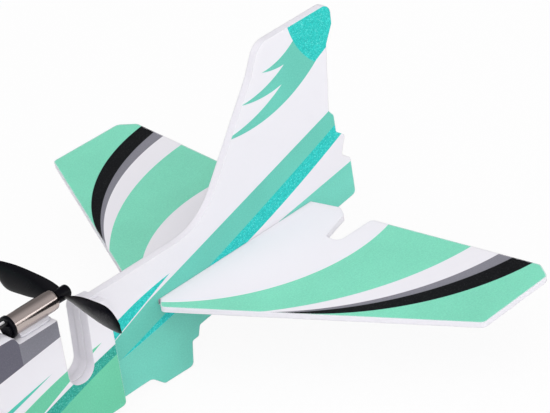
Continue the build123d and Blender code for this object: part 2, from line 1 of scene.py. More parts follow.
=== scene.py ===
# %% [markdown]
# # A printed foam glider with a pusher propeller
# The body, wing and tail of this glider are cut from thin foam sheet and printed with
# stripes. A small motor sits on its back and turns a propeller in a slot. The solid
# model is already built at its real size, so this script gives it its finish, adds
# the soft beads of glue around the motor, and sets up the studio.

# %% Load the frame
import json
import math

import bmesh
import bpy
from mathutils import Matrix, Vector


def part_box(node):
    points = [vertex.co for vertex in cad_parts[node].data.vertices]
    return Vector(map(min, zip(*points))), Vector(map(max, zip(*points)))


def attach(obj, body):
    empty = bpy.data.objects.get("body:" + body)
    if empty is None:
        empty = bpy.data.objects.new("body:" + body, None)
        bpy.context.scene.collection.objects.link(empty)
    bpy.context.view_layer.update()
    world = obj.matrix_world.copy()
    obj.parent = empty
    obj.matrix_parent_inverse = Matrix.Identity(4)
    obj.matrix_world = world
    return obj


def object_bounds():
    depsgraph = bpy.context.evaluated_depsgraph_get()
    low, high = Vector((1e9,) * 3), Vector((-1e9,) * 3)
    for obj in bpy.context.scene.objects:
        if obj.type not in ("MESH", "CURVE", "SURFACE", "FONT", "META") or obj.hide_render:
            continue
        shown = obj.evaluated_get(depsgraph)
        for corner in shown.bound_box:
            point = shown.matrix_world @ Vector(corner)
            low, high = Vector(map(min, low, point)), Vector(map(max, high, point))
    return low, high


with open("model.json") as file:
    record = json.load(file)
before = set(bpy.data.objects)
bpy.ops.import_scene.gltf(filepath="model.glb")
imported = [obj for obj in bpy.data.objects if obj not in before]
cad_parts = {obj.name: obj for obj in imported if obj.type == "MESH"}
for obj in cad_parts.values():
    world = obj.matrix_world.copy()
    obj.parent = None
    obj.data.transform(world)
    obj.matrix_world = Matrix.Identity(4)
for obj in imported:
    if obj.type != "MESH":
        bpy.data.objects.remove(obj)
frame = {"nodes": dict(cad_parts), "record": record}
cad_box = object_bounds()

MM = 0.001
nodes = frame["nodes"]

# %% [markdown]
# ## Helpers for shader trees
# Every material here is a small tree of nodes. Writing each link by hand is long and
# hard to read, so a few helpers make a node, feed its sockets with a value or with
# another socket, and give its output back. Values that never change go straight onto
# the socket they belong to.

# %% Shader helpers
def feed(tree, socket, value):
    """Link a socket to another one, or set it to a plain value."""
    if isinstance(value, bpy.types.NodeSocket):
        tree.links.new(value, socket)
    else:
        socket.default_value = value


def node(tree, kind, inputs=None, **settings):
    """New shader node with its settings and inputs."""
    made = tree.nodes.new("ShaderNode" + kind)
    for name, value in settings.items():
        setattr(made, name, value)
    for name, value in (inputs or {}).items():
        feed(tree, made.inputs[name], value)
    return made


def calc(tree, operation, a, b=0.0, clamp=False):
    """One arithmetic step."""
    return node(tree, "Math", {0: a, 1: b}, operation=operation, use_clamp=clamp).outputs[0]


def blend_colour(tree, share, below, above, kind="MIX"):
    """Colour above laid over colour below by a share from 0 to 1.

    A Mix node has sockets for every type of value. Its colours go into 6 and 7 and come out of 2.
    """
    mix = node(tree, "Mix", data_type="RGBA", blend_type=kind)
    feed(tree, mix.inputs[0], share)
    feed(tree, mix.inputs[6], below)
    feed(tree, mix.inputs[7], above)
    return mix.outputs[2]


def rgb(red, green, blue):
    """Linear colour from the 0 to 255 values that a paint chart gives."""
    def linear(value):
        value /= 255
        return value / 12.92 if value <= 0.04045 else ((value + 0.055) / 1.055) ** 2.4
    return (linear(red), linear(green), linear(blue), 1.0)


print("helpers ready")

# %% [markdown]
# ## Effects that several materials share
# A node group is a small machine that is built once and used in many materials, each
# time with its own values. These groups put out masks, tones and heights, and one of
# them a normal. The shader itself stays in each material, where its gloss is easy to
# see and change.

# %% Node group helper
def new_group(name, inputs, outputs):
    """Node group with float inputs and outputs, plus a vector called Point."""
    tree = bpy.data.node_groups.new(name, "ShaderNodeTree")
    tree.interface.new_socket(name="Point", in_out="INPUT", socket_type="NodeSocketVector")
    for label, value in inputs.items():
        socket = tree.interface.new_socket(name=label, in_out="INPUT", socket_type="NodeSocketFloat")
        socket.default_value = value
    for label in outputs:
        tree.interface.new_socket(name=label, in_out="OUTPUT", socket_type="NodeSocketFloat")
    return tree, tree.nodes.new("NodeGroupInput"), tree.nodes.new("NodeGroupOutput")


def use(tree, group, **values):
    """Place a node group in a tree. Spaces in its socket names are written as _."""
    made = tree.nodes.new("ShaderNodeGroup")
    made.node_tree = group
    for name, value in values.items():
        feed(tree, made.inputs[name.replace("_", " ")], value)
    return made


# %% [markdown]
# ### Foam beads
# Expanded foam is made of beads that were steamed until they pressed flat against each
# other. A Voronoi pattern draws exactly such cells: its distance to the cell edge gives
# the fine joints, and a random value per cell makes some beads a little higher. A
# plain noise would show lumps but no joints.

# %% Group: foam beads
JOINT_SLOPE = 3.0
BEAD_TOP = 0.5
BEAD_LIFT = 0.3


def make_foam_beads():
    """Height of the beads, and a tone that is lower in their joints."""
    tree, inp, out = new_group("Foam Beads", {"Bead Size": 1.4}, ["Height", "Tone"])
    scale = calc(tree, "DIVIDE", 1.0, inp.outputs["Bead Size"])
    joint = node(tree, "TexVoronoi", {"Vector": inp.outputs["Point"], "Scale": scale},
                 feature="DISTANCE_TO_EDGE")
    cell = node(tree, "TexVoronoi", {"Vector": inp.outputs["Point"], "Scale": scale})
    fine = node(tree, "TexNoise", {"Vector": inp.outputs["Point"], "Scale": 3.2, "Detail": 3.0})
    slope = calc(tree, "MULTIPLY", joint.outputs["Distance"], JOINT_SLOPE)
    seam = calc(tree, "SMOOTH_MIN", slope, BEAD_TOP)
    lift = calc(tree, "MULTIPLY", cell.outputs["Color"], BEAD_LIFT)
    height = calc(tree, "ADD", seam, calc(tree, "ADD", lift, fine.outputs["Fac"]))
    feed(tree, out.inputs["Height"], height)
    tone = calc(tree, "ADD", calc(tree, "MULTIPLY", seam, 0.5), fine.outputs["Fac"])
    feed(tree, out.inputs["Tone"], calc(tree, "MULTIPLY", tone, 0.75, clamp=True))
    return tree


foam_beads = make_foam_beads()
print("group:", foam_beads.name)

# %% [markdown]
# ### Print grain
# Ink that is rolled onto foam doesn't cover every pore. Two noises, one fine and one
# slow, give the small speckle and the slight change of density over a few centimetres.
# The peaks of the fine noise are the pores, through which the white foam shows. They
# are what makes a black stripe look printed and not painted.

# %% Group: print grain
DRIFT = 0.2
PORE_LEVEL = 0.54
PORE_GAIN = 7.0


def make_print_grain():
    """Tone of the ink around 1, and a mask of the open pores."""
    tree, inp, out = new_group("Print Grain", {"Speckle": 0.5}, ["Tone", "Pores"])
    fine = node(tree, "TexNoise", {"Vector": inp.outputs["Point"], "Scale": 2.0, "Detail": 5.0})
    slow = node(tree, "TexNoise", {"Vector": inp.outputs["Point"], "Scale": 0.035, "Detail": 2.0})
    speckle = calc(tree, "MULTIPLY", calc(tree, "SUBTRACT", fine.outputs["Fac"], 0.5),
                   inp.outputs["Speckle"])
    drift = calc(tree, "MULTIPLY", calc(tree, "SUBTRACT", slow.outputs["Fac"], 0.5), DRIFT)
    feed(tree, out.inputs["Tone"], calc(tree, "ADD", 1.0, calc(tree, "ADD", speckle, drift)))
    over = calc(tree, "SUBTRACT", fine.outputs["Fac"], PORE_LEVEL)
    feed(tree, out.inputs["Pores"], calc(tree, "MULTIPLY", over, PORE_GAIN, clamp=True))
    return tree


print_grain = make_print_grain()
print("group:", print_grain.name)

# %% [markdown]
# ### Glitter
# The broad teal stripes and the fin's cap are printed with glitter ink. Each flake lies
# at its own angle, so each throws back a little more or less light than the next.
# Random values of small Voronoi cells paint that into the colour as a tone a little
# lighter or darker from flake to flake, which is painted reflection. The same value
# raised to a power picks out the few bright ones, and these get a painted glint: a
# pale colour laid where a flake would face the light, whatever the lamps do.

# %% Group: glitter flakes
FLAKE_CONTRAST = 0.40
PATCH_CONTRAST = 0.20
SPARK_POWER = 9.0


def make_glitter():
    """Tone of the flakes around 1, which is painted reflection, and a mask of the few bright ones for
    painted glints.
    """
    tree, inp, out = new_group("Glitter Flakes", {"Flake Size": 0.3}, ["Tone", "Spark"])
    scale = calc(tree, "DIVIDE", 1.0, inp.outputs["Flake Size"])
    flake = node(tree, "TexVoronoi", {"Vector": inp.outputs["Point"], "Scale": scale})
    patch = node(tree, "TexNoise", {"Vector": inp.outputs["Point"], "Scale": 0.9, "Detail": 2.0})
    luck = node(tree, "SeparateColor", {"Color": flake.outputs["Color"]}).outputs[0]
    wide = calc(tree, "MULTIPLY", calc(tree, "SUBTRACT", luck, 0.5), FLAKE_CONTRAST)
    slow = calc(tree, "MULTIPLY", calc(tree, "SUBTRACT", patch.outputs["Fac"], 0.5), PATCH_CONTRAST)
    feed(tree, out.inputs["Tone"], calc(tree, "ADD", 1.0, calc(tree, "ADD", wide, slow)))
    feed(tree, out.inputs["Spark"], calc(tree, "POWER", luck, SPARK_POWER, clamp=True))
    return tree


glitter = make_glitter()
print("group:", glitter.name)

# %% [markdown]
# ### Stripe edges
# The stripes are bounded by long arcs and straight cuts. A disc group is 1 inside a
# circle and 0 outside it, and a cut group is 1 below a sloping line. Laying colours
# over each other by such masks prints the whole design without a picture file, and
# the edges stay sharp however close the view comes.

# %% Groups: disc and cut
EDGE_BLUR = 0.12


def soft_step(tree, depth):
    """0 to 1 mask across an edge, from the depth behind it in millimetres."""
    return calc(tree, "ADD", calc(tree, "DIVIDE", depth, EDGE_BLUR), 0.5, clamp=True)


def make_disc():
    """Mask of a circle."""
    tree, inp, out = new_group("Print Disc", {"Centre X": 0.0, "Centre Y": 0.0, "Radius": 10.0},
                               ["Inside"])
    centre = node(tree, "CombineXYZ", {"X": inp.outputs["Centre X"], "Y": inp.outputs["Centre Y"]})
    span = node(tree, "VectorMath", {0: inp.outputs["Point"], 1: centre.outputs[0]},
                operation="DISTANCE").outputs["Value"]
    depth = calc(tree, "SUBTRACT", inp.outputs["Radius"], span)
    feed(tree, out.inputs["Inside"], soft_step(tree, depth))
    return tree


def make_cut():
    """Mask of all below a line with a slope and a level at X = 0."""
    tree, inp, out = new_group("Print Cut", {"Slope": 0.0, "Level": 0.0}, ["Below"])
    axes = node(tree, "SeparateXYZ", {0: inp.outputs["Point"]})
    line = calc(tree, "ADD", calc(tree, "MULTIPLY", axes.outputs["X"], inp.outputs["Slope"]),
                inp.outputs["Level"])
    depth = calc(tree, "SUBTRACT", line, axes.outputs["Y"])
    feed(tree, out.inputs["Below"], soft_step(tree, depth))
    return tree


print_disc = make_disc()
print_cut = make_cut()
print("groups:", print_disc.name, "and", print_cut.name)

# %% [markdown]
# ### Turned edges
# Two effects need to know where an edge is near: rubbed corners, and rims that the ink
# stops short of. A painted mask would have to be made for each piece. A Bevel node
# rounds the normals near every edge by itself, so the angle between the rounded normal
# and the flat one says how near the edge is.

# %% Edge helper
def edge_turn(tree, radius):
    """Rounded normal for a radius in metres, and how far it turns from the flat one, from 0 up."""
    rounded = node(tree, "Bevel", {"Radius": radius}, samples=4).outputs[0]
    flat = node(tree, "NewGeometry").outputs["Normal"]
    match = node(tree, "VectorMath", {0: rounded, 1: flat}, operation="DOT_PRODUCT").outputs["Value"]
    return rounded, calc(tree, "SUBTRACT", 1.0, match)


print("edge helper ready")

# %% [markdown]
# ### Handling marks
# Things that are held in the hand get faint greasy and dusty patches, and their corners
# are rubbed. A slow noise gives the patches. It also breaks up the rub, so that no
# corner looks evenly worn along its whole length.

# %% Group: handling
CORNER_GAIN = 4.0


def make_handling():
    """Masks of patches and rubbed corners, and the normal with rounded edges."""
    tree, inp, out = new_group("Handling", {"Corner": 0.0003, "Patch Size": 8.0}, ["Patch", "Corner"])
    tree.interface.new_socket(name="Rounded", in_out="OUTPUT", socket_type="NodeSocketVector")
    scale = calc(tree, "DIVIDE", 1.0, inp.outputs["Patch Size"])
    patch = node(tree, "TexNoise", {"Vector": inp.outputs["Point"], "Scale": scale, "Detail": 4.0})
    feed(tree, out.inputs["Patch"], patch.outputs["Fac"])
    rounded, away = edge_turn(tree, inp.outputs["Corner"])
    worn = calc(tree, "MULTIPLY", away, CORNER_GAIN, clamp=True)
    feed(tree, out.inputs["Corner"], calc(tree, "MULTIPLY", worn, patch.outputs["Fac"], clamp=True))
    feed(tree, out.inputs["Rounded"], rounded)
    return tree


handling = make_handling()
print("group:", handling.name)

# %% [markdown]
# ### Sheet rims
# The die that cuts a foam sheet presses its rim down a little, so the ink stops just
# short of the cut and the line wavers. The turned edge says how near the cut is, and a
# noise moves the limit in and out. A limit at a fixed distance would look ruled.

# %% Group: sheet rim
RIM_LIMIT = 0.26
RIM_WAVER = 0.2
RIM_GAIN = 14.0


def make_sheet_rim():
    """Mask that is 1 on the sheet and 0 on its pressed rim."""
    tree, inp, out = new_group("Sheet Rim", {"Width": 0.0006}, ["Inner"])
    _, away = edge_turn(tree, inp.outputs["Width"])
    waver = node(tree, "TexNoise", {"Vector": inp.outputs["Point"], "Scale": 0.35, "Detail": 3.0})
    limit = calc(tree, "SUBTRACT", RIM_LIMIT, calc(tree, "MULTIPLY", waver.outputs["Fac"], RIM_WAVER))
    inner = calc(tree, "MULTIPLY", calc(tree, "SUBTRACT", limit, away), RIM_GAIN, clamp=True)
    feed(tree, out.inputs["Inner"], inner)
    return tree


sheet_rim = make_sheet_rim()
print("group:", sheet_rim.name)

# %% [markdown]
# ## Printed foam
# All foam sheets share one finish: white foam with faint beads, printed on its broad
# faces only. The inks are few: a white, three mints, three teals, a grey and a black.
# They are kept together here, so that a change to one of them reaches every stripe that
# is printed with it. The other colours aren't plain inks. One mint is the sea mint made
# lighter for the boom, painted light that makes up for the shade the tailplane throws
# there. The dark grey is the colour of the grey band ahead of the motor. One is a
# painted glint, the flash of a glitter flake, and the last is the shade of white in the
# joints between the beads.

# %% Inks
WHITE = rgb(239, 238, 243)
MINT = rgb(132, 221, 192)
SEA_MINT = rgb(111, 206, 188)
# Painted light: the sea mint made lighter for the boom, to make up for the shade that the tailplane
# throws there.
BOOM_MINT_PAINTED_LIGHT = rgb(121, 214, 195)
LEAF_MINT = rgb(112, 207, 170)
TEAL = rgb(44, 204, 197)
DEEP_TEAL = rgb(52, 170, 152)
SEA_TEAL = rgb(84, 200, 180)
GREY = rgb(134, 134, 143)
DARK_GREY = rgb(106, 105, 117)
BLACK = rgb(8, 10, 14)
# Painted glint: the pale colour laid on the few bright glitter flakes.
PAINTED_FLAKE_GLINT = rgb(150, 240, 236)
JOINT_WHITE = rgb(229, 228, 235)
print("inks mixed")

# %% [markdown]
# ### Where a stripe lies
# The stripes are drawn in millimetres on a flat drawing of each sheet. The centre and
# side sheets are seen from the side and the wing and tail from above. A UV map would
# have to be unwrapped for each sheet, but a flat sheet only needs two of its three
# coordinates. The plan view is folded over the centre line, so both halves match.

# %% Drawing planes
def in_millimetres(tree):
    """Place on the object, in millimetres of the glider's own frame."""
    place = node(tree, "TexCoord")
    scaled = node(tree, "VectorMath", {0: place.outputs["Object"], "Scale": 1 / MM}, operation="SCALE")
    return scaled.outputs[0], place.outputs["Normal"]


def side_point(tree, point):
    """Side view of a place: X along the body, Y up."""
    axes = node(tree, "SeparateXYZ", {0: point})
    return node(tree, "CombineXYZ", {"X": axes.outputs["X"], "Y": axes.outputs["Z"]}).outputs[0]


def plan_point(tree, point):
    """Plan view of a place, folded over the centre line so both halves match."""
    axes = node(tree, "SeparateXYZ", {0: point})
    out = calc(tree, "ABSOLUTE", axes.outputs["Y"])
    return node(tree, "CombineXYZ", {"X": axes.outputs["X"], "Y": out}).outputs[0]


print("drawing planes ready")

# %% [markdown]
# ### Laying ink on a sheet
# A printer lays one ink after another, and so does a design here: each call lays a
# colour where a mask is 1. The print also keeps two masks of its own, for where there
# is ink and where there is glitter, because bare white foam has no grain and only
# glitter has flakes. A class keeps the colour and the two masks together.

# %% A print in work
class Print:
    """Colours laid over each other, with masks of where ink and glitter are."""

    def __init__(self, tree, point):
        self.tree = tree
        self.point = point
        self.colour = WHITE
        self.ink = 0.0
        self.glitter = 0.0

    def disc(self, x, y, radius):
        """Mask of a circle."""
        made = use(self.tree, print_disc, Point=self.point, Centre_X=x, Centre_Y=y, Radius=radius)
        return made.outputs["Inside"]

    def below(self, slope, level):
        """Mask of all that lies below a sloping line."""
        return use(self.tree, print_cut, Point=self.point, Slope=slope, Level=level).outputs["Below"]

    def above(self, slope, level):
        """Mask of all that lies above a sloping line."""
        return self.outside(self.below(slope, level))

    def ahead(self, x):
        """Mask of all that lies ahead of a station."""
        axes = node(self.tree, "SeparateXYZ", {0: self.point})
        return calc(self.tree, "GREATER_THAN", axes.outputs["X"], x)

    def outside(self, mask):
        """The rest of the sheet."""
        return calc(self.tree, "SUBTRACT", 1.0, mask)

    def both(self, *masks):
        """Where all the masks meet."""
        shared = masks[0]
        for mask in masks[1:]:
            shared = calc(self.tree, "MULTIPLY", shared, mask)
        return shared

    def lay(self, mask, colour, glitter=False):
        """Lay one ink over what is there. White is bare foam, so it counts as no ink."""
        self.colour = blend_colour(self.tree, mask, self.colour, colour)
        covers = 0.0 if colour is WHITE else 1.0
        self.ink = node(self.tree, "Mix", {0: mask, 2: self.ink, 3: covers}).outputs[0]
        if glitter:
            self.glitter = calc(self.tree, "MAXIMUM", self.glitter, mask)
        elif self.glitter != 0.0:
            self.glitter = calc(self.tree, "MULTIPLY", self.glitter, self.outside(mask))


print("ready to lay ink")

# %% [markdown]
# ### The face that takes ink
# Ink is rolled onto the broad faces of a sheet, and its cut edges stay white. The
# direction that a face looks tells the two apart, so no face has to be picked by hand.
# The centre and side sheets are printed on both faces, the wing and tail only on top.

# %% Mask of the printed face
FACE_LEVEL = 0.55
FACE_GAIN = 12.0


def printed_face(tree, point, normal, facing, both_faces, rim_width):
    """Mask of the faces that look along an axis, without the pressed rim."""
    across = node(tree, "SeparateXYZ", {0: normal}).outputs[facing]
    if both_faces:
        across = calc(tree, "ABSOLUTE", across)
    broad = calc(tree, "MULTIPLY", calc(tree, "SUBTRACT", across, FACE_LEVEL), FACE_GAIN, clamp=True)
    rim = use(tree, sheet_rim, Point=point, Width=rim_width * MM)
    return calc(tree, "MULTIPLY", broad, rim.outputs["Inner"])


print("face mask ready")

# %% [markdown]
# ### Ink with its grain
# Plain colours would look like paint. Grain changes the tone of the common inks and
# flakes that of the glitter ink, a tone that is painted reflection. Then white shows
# through the pores, and the painted glints of the bright flakes are laid on last, since
# nothing covers them.

# %% Inked colour
SPECKLE = 0.34
FLAKE_SIZE = 0.27
PORE_SHARE = 0.022
SPARK_SHARE = 0.4


def inked_colour(tree, point, sheet):
    """The print's colour with grain, pores, glitter and painted glints, and the mask of bright flakes."""
    grain = use(tree, print_grain, Point=point, Speckle=SPECKLE)
    flakes = use(tree, glitter, Point=point, Flake_Size=FLAKE_SIZE)
    tone = node(tree, "Mix", {0: sheet.glitter, 2: grain.outputs["Tone"], 3: flakes.outputs["Tone"]})
    inked = blend_colour(tree, sheet.ink, sheet.colour, tone.outputs[0], "MULTIPLY")
    pores = calc(tree, "MULTIPLY", grain.outputs["Pores"], PORE_SHARE)
    inked = blend_colour(tree, pores, inked, WHITE)
    # Painted glint: the bright flakes get a pale colour, laid on last.
    spark = calc(tree, "MULTIPLY", flakes.outputs["Spark"], sheet.glitter)
    return blend_colour(tree, calc(tree, "MULTIPLY", spark, SPARK_SHARE), inked, PAINTED_FLAKE_GLINT), spark


print("inked colour ready")

# %% [markdown]
# ### The foam itself
# Foam is soft to the eye because light goes a little way into it, which a small amount
# of subsurface scattering gives. The beads are a bump, too low to be worth a mesh, over
# edges that a Bevel node rounds. Light that a mint sheet throws on its white neighbours
# would tint them strongly, so rays that have bounced meet a paler sheet.

# %% Foam finish
BEAD_SIZE = 1.5
FOAM_ROUGHNESS = 0.68
SPARK_GLOSS = 0.35
SOFT_DEPTH = 2.5 * MM
EDGE_ROUNDING = 0.35 * MM
BEAD_DEPTH = 0.12 * MM
BOUNCE_SHARE = 0.6
BOUNCE_GREY = rgb(214, 211, 216)


def foam_material(name, design, view, rim_width):
    """Foam printed with a design, which is drawn in a side or a plan view."""
    seen_from_side = view is side_point
    facing = "Y" if seen_from_side else "Z"
    material = bpy.data.materials.new(name)
    material.use_nodes = True
    tree = material.node_tree
    shader = tree.nodes["Principled BSDF"]
    point, normal = in_millimetres(tree)
    sheet = Print(tree, view(tree, point))
    design(sheet)
    inked, spark = inked_colour(tree, point, sheet)
    beads = use(tree, foam_beads, Point=point, Bead_Size=BEAD_SIZE)
    bare = blend_colour(tree, beads.outputs["Tone"], JOINT_WHITE, WHITE)
    printed = printed_face(tree, point, normal, facing, seen_from_side, rim_width)
    colour = blend_colour(tree, printed, bare, inked)
    bounced = calc(tree, "MULTIPLY", node(tree, "LightPath").outputs["Is Diffuse Ray"], BOUNCE_SHARE)
    feed(tree, shader.inputs["Base Color"], blend_colour(tree, bounced, colour, BOUNCE_GREY))
    rough = calc(tree, "SUBTRACT", FOAM_ROUGHNESS, calc(tree, "MULTIPLY", spark, SPARK_GLOSS))
    feed(tree, shader.inputs["Roughness"], rough)
    shader.inputs["Specular IOR Level"].default_value = 0.15
    shader.inputs["Subsurface Weight"].default_value = 0.3
    shader.inputs["Subsurface Scale"].default_value = SOFT_DEPTH
    shader.inputs["Subsurface Radius"].default_value = (1.0, 1.0, 1.0)
    rounded = node(tree, "Bevel", {"Radius": EDGE_ROUNDING}, samples=6)
    relief = node(tree, "Bump", {"Strength": 0.16, "Distance": BEAD_DEPTH,
                                 "Height": beads.outputs["Height"], "Normal": rounded.outputs[0]})
    feed(tree, shader.inputs["Normal"], relief.outputs[0])
    return material


print("foam finish ready")

# %% [markdown]
# ### Tailplane stripes
# Seen from above, the tailplane carries a black, a grey, a white and a mint band that
# curve forward and run out along the leading edge. Their edges are arcs with centres
# close to each other, so the design is a set of nested discs, laid from the tip inward.

# %% Tailplane print
def tail_design(sheet):
    sheet.lay(1.0, MINT)
    sheet.lay(sheet.disc(-237.8, 7.1, 87.1), BLACK)
    sheet.lay(sheet.disc(-241.0, -12.2, 99.2), GREY)
    sheet.lay(sheet.disc(-234.1, -12.5, 93.2), WHITE)
    sheet.lay(sheet.disc(-230.0, -31.9, 101.3), MINT)
    sheet.lay(sheet.disc(-200.3, -29.2, 66.9), WHITE)


tail_print = foam_material("tailplane_print", tail_design, plan_point, rim_width=1.0)
nodes["tailplane"].data.materials[0] = tail_print
print("tailplane printed")

# %% [markdown]
# ### Wing stripes
# The wing repeats the bands at its own scale: the same order of colours from the tip
# inward, on arcs that sweep forward. A teal glitter band marks the root.

# %% Wing print
def wing_design(sheet):
    sheet.lay(1.0, MINT)
    sheet.lay(sheet.disc(-150.0, 10.0, 205.0), BLACK)
    sheet.lay(sheet.disc(-156.0, -8.0, 214.0), GREY)
    sheet.lay(sheet.disc(-152.0, -10.0, 206.0), WHITE)
    sheet.lay(sheet.disc(-146.0, -34.0, 208.0), MINT)
    sheet.lay(sheet.disc(-96.0, -62.0, 158.0), WHITE)
    sheet.lay(sheet.disc(-120.0, -60.0, 126.0), TEAL, glitter=True)
    sheet.lay(sheet.disc(-112.0, -64.0, 108.0), WHITE)


wing_print = foam_material("wing_print", wing_design, plan_point, rim_width=1.0)
for name in ("left_wing", "right_wing"):
    nodes[name].data.materials[0] = wing_print
print("wing printed")

# %% [markdown]
# ### Fin and boom
# The centre sheet is printed on both sides. Long stripes rise from the boom to the
# fin's trailing edge: mint, glitter teal, white and mint again. A teal spear lies on
# the boom above them. The fin's tip is a glitter cap with three mint tails under it,
# each tail the part of one disc that another disc leaves free. Ahead of the propeller
# slot the sheet lies between the side sheets, and what shows of it there is white.

# %% Centre sheet print
FIN_FOOT = 56.0
SLOT_REAR = -118.0
TAIL_RISE = 1.6
FIN_TAILS = [
    {"x": -194.0, "z": 124.0, "radius": 59.5, "shift": 12.5},
    {"x": -203.0, "z": 116.0, "radius": 43.0, "shift": 11.0},
    {"x": -212.0, "z": 108.0, "radius": 28.0, "shift": 9.0},
]


def fin_tail(sheet, x, z, radius, shift):
    """Crescent that is left of a disc when another lies over it, a little ahead and above."""
    hollow = sheet.disc(x + shift, z + TAIL_RISE, radius)
    return sheet.both(sheet.disc(x, z, radius), sheet.outside(hollow))


def core_design(sheet):
    band = sheet.both(sheet.below(-0.290, -12.3), sheet.below(-0.385, -25.4))
    teal_top = sheet.outside(sheet.disc(340.0, 1666.4, 1716.3))
    teal_foot = sheet.outside(sheet.disc(-65.2, 448.9, 439.1))
    low_edge = sheet.below(-0.143, -2.3)
    sheet.lay(band, SEA_MINT)
    sheet.lay(teal_top, TEAL, glitter=True)
    sheet.lay(teal_foot, WHITE)
    # Painted light: the mint along the boom's low edge is laid lighter than the fin's, against the
    # tailplane's shade.
    sheet.lay(sheet.both(low_edge, teal_foot), BOOM_MINT_PAINTED_LIGHT)
    spear = sheet.both(sheet.disc(-159.9, -87.8, 121.0), sheet.above(-0.402, -27.2))
    sheet.lay(spear, TEAL, glitter=True)
    fin = sheet.above(0.0, FIN_FOOT)
    for tail in FIN_TAILS:
        sheet.lay(sheet.both(fin_tail(sheet, **tail), fin), SEA_MINT)
    cap = sheet.both(sheet.disc(-246.0, 97.0, 29.5), sheet.above(-0.45, -27.5))
    sheet.lay(cap, TEAL, glitter=True)
    sheet.lay(sheet.ahead(SLOT_REAR), WHITE)


core_print = foam_material("centre_sheet_print", core_design, side_point, rim_width=0.4)
nodes["fuselage_core"].data.materials[0] = core_print
print("centre sheet printed")

# %% [markdown]
# ### Side sheets
# The side sheets carry a grey band along the top, darker ahead of the motor, a fine teal
# line, a mint wedge that runs to a point behind the propeller slot, and a dark glitter
# band over a mint foot.
# Ahead of the wing the grey band widens, and a canopy is printed on it: a lens between
# two arcs, with a white rim and two slanting window bars. Sweeps of mint and dark teal
# mark the nose.

# %% Side sheet print
CANOPY_X = 15.0
CANOPY_LOW = -20.0
CANOPY_HIGH = 112.0
CANOPY_RADIUS = 74.0
CANOPY_RIM = 1.0
BAR_SLOPE = 3.0
BAR_LEVELS = (52.0, -32.0)
BAR_DROP = 4.2
NOSE_START = 40.0
NOSE_X = -20.0
NOSE_Z = -40.0


def lens(sheet, radius):
    """Mask where the two discs of the canopy meet."""
    return sheet.both(sheet.disc(CANOPY_X, CANOPY_LOW, radius), sheet.disc(CANOPY_X, CANOPY_HIGH, radius))


def nose_sweep(sheet, radius):
    """Mask of the nose outside an arc."""
    return sheet.both(sheet.ahead(NOSE_START), sheet.outside(sheet.disc(NOSE_X, NOSE_Z, radius)))


def side_design(sheet):
    top_band = sheet.above(-0.115, 26.0)
    sheet.lay(sheet.both(top_band, sheet.ahead(-104.0)), GREY)
    # Ahead of the motor the grey band is laid a darker grey.
    sheet.lay(sheet.both(top_band, sheet.ahead(-82.8)), DARK_GREY)
    fine_line = sheet.both(sheet.disc(123.2, 810.7, 813.0), sheet.disc(-219.5, -776.2, 813.0))
    sheet.lay(fine_line, SEA_TEAL)
    wedge = sheet.both(sheet.disc(-130.3, -147.9, 175.3), sheet.above(-0.404, -19.4))
    sheet.lay(wedge, LEAF_MINT)
    sheet.lay(sheet.disc(-185.2, -307.7, 337.4), DEEP_TEAL, glitter=True)
    sheet.lay(sheet.disc(-178.8, -243.1, 269.2), LEAF_MINT)
    sheet.lay(lens(sheet, CANOPY_RADIUS), WHITE)
    glass = lens(sheet, CANOPY_RADIUS - CANOPY_RIM)
    sheet.lay(glass, TEAL, glitter=True)
    for level in BAR_LEVELS:
        bar = sheet.both(sheet.below(BAR_SLOPE, level), sheet.above(BAR_SLOPE, level - BAR_DROP))
        sheet.lay(sheet.both(glass, bar), WHITE)
    sheet.lay(nose_sweep(sheet, 122.0), LEAF_MINT)
    sheet.lay(nose_sweep(sheet, 126.5), WHITE)
    sheet.lay(nose_sweep(sheet, 128.5), DEEP_TEAL, glitter=True)


side_print = foam_material("side_sheet_print", side_design, side_point, rim_width=0.25)
for name in ("left_fuselage_side", "right_fuselage_side"):
    nodes[name].data.materials[0] = side_print
print("side sheets printed")

# %% [markdown]
# ## Plain materials
# The other pieces are moulded plastic, drawn metal, wire and rod. One function sets up
# a Principled shader with a little life in it: the patches and rubbed corners of the
# handling group change its colour and gloss, and a noise gives it relief. Metals get
# the noise stretched along one axis, which is what brushing and drawing leave.

# %% Plain finish
PATCH_SIZE = 5.0
RELIEF_DEPTH = 0.05 * MM
finishes = {}


def plain_finish(name, colour, worn, metallic=0.0, rough=0.4, spread=0.12, relief=0.05,
                 grain=(1.0, 1.0, 1.0), grain_scale=1.5, corner=0.12 * MM, shine=0.5):
    """Material of one colour with patches, rubbed corners and a fine relief."""
    material = bpy.data.materials.new(name)
    material.use_nodes = True
    tree = material.node_tree
    shader = tree.nodes["Principled BSDF"]
    point, _ = in_millimetres(tree)
    marks = use(tree, handling, Point=point, Corner=corner, Patch_Size=PATCH_SIZE)
    feed(tree, shader.inputs["Base Color"],
         blend_colour(tree, marks.outputs["Corner"], colour, worn))
    shader.inputs["Metallic"].default_value = metallic
    shader.inputs["Specular IOR Level"].default_value = shine
    lifted = calc(tree, "MULTIPLY", calc(tree, "SUBTRACT", marks.outputs["Patch"], 0.5), spread)
    feed(tree, shader.inputs["Roughness"], calc(tree, "ADD", lifted, rough))
    stretched = node(tree, "VectorMath", {0: point, 1: grain}, operation="MULTIPLY")
    fine = node(tree, "TexNoise", {"Vector": stretched.outputs[0], "Scale": grain_scale, "Detail": 4.0})
    bump = node(tree, "Bump", {"Strength": relief, "Distance": RELIEF_DEPTH,
                               "Height": fine.outputs["Fac"], "Normal": marks.outputs["Rounded"]})
    feed(tree, shader.inputs["Normal"], bump.outputs[0])
    finishes[name] = material


print("plain finish ready")

# %% [markdown]
# ### Plastics
# The propeller and the motor's cap are black and smooth, but show only a weak highlight,
# so their shine is low. The power box is white, and its relief is the slight waviness of
# a moulded wall. The knob and the socket are duller. The lamp's lens is clear red plastic,
# which a plain glossy red stands in for, since nothing is modelled behind it. The green
# of the circuit board is a lacquer.

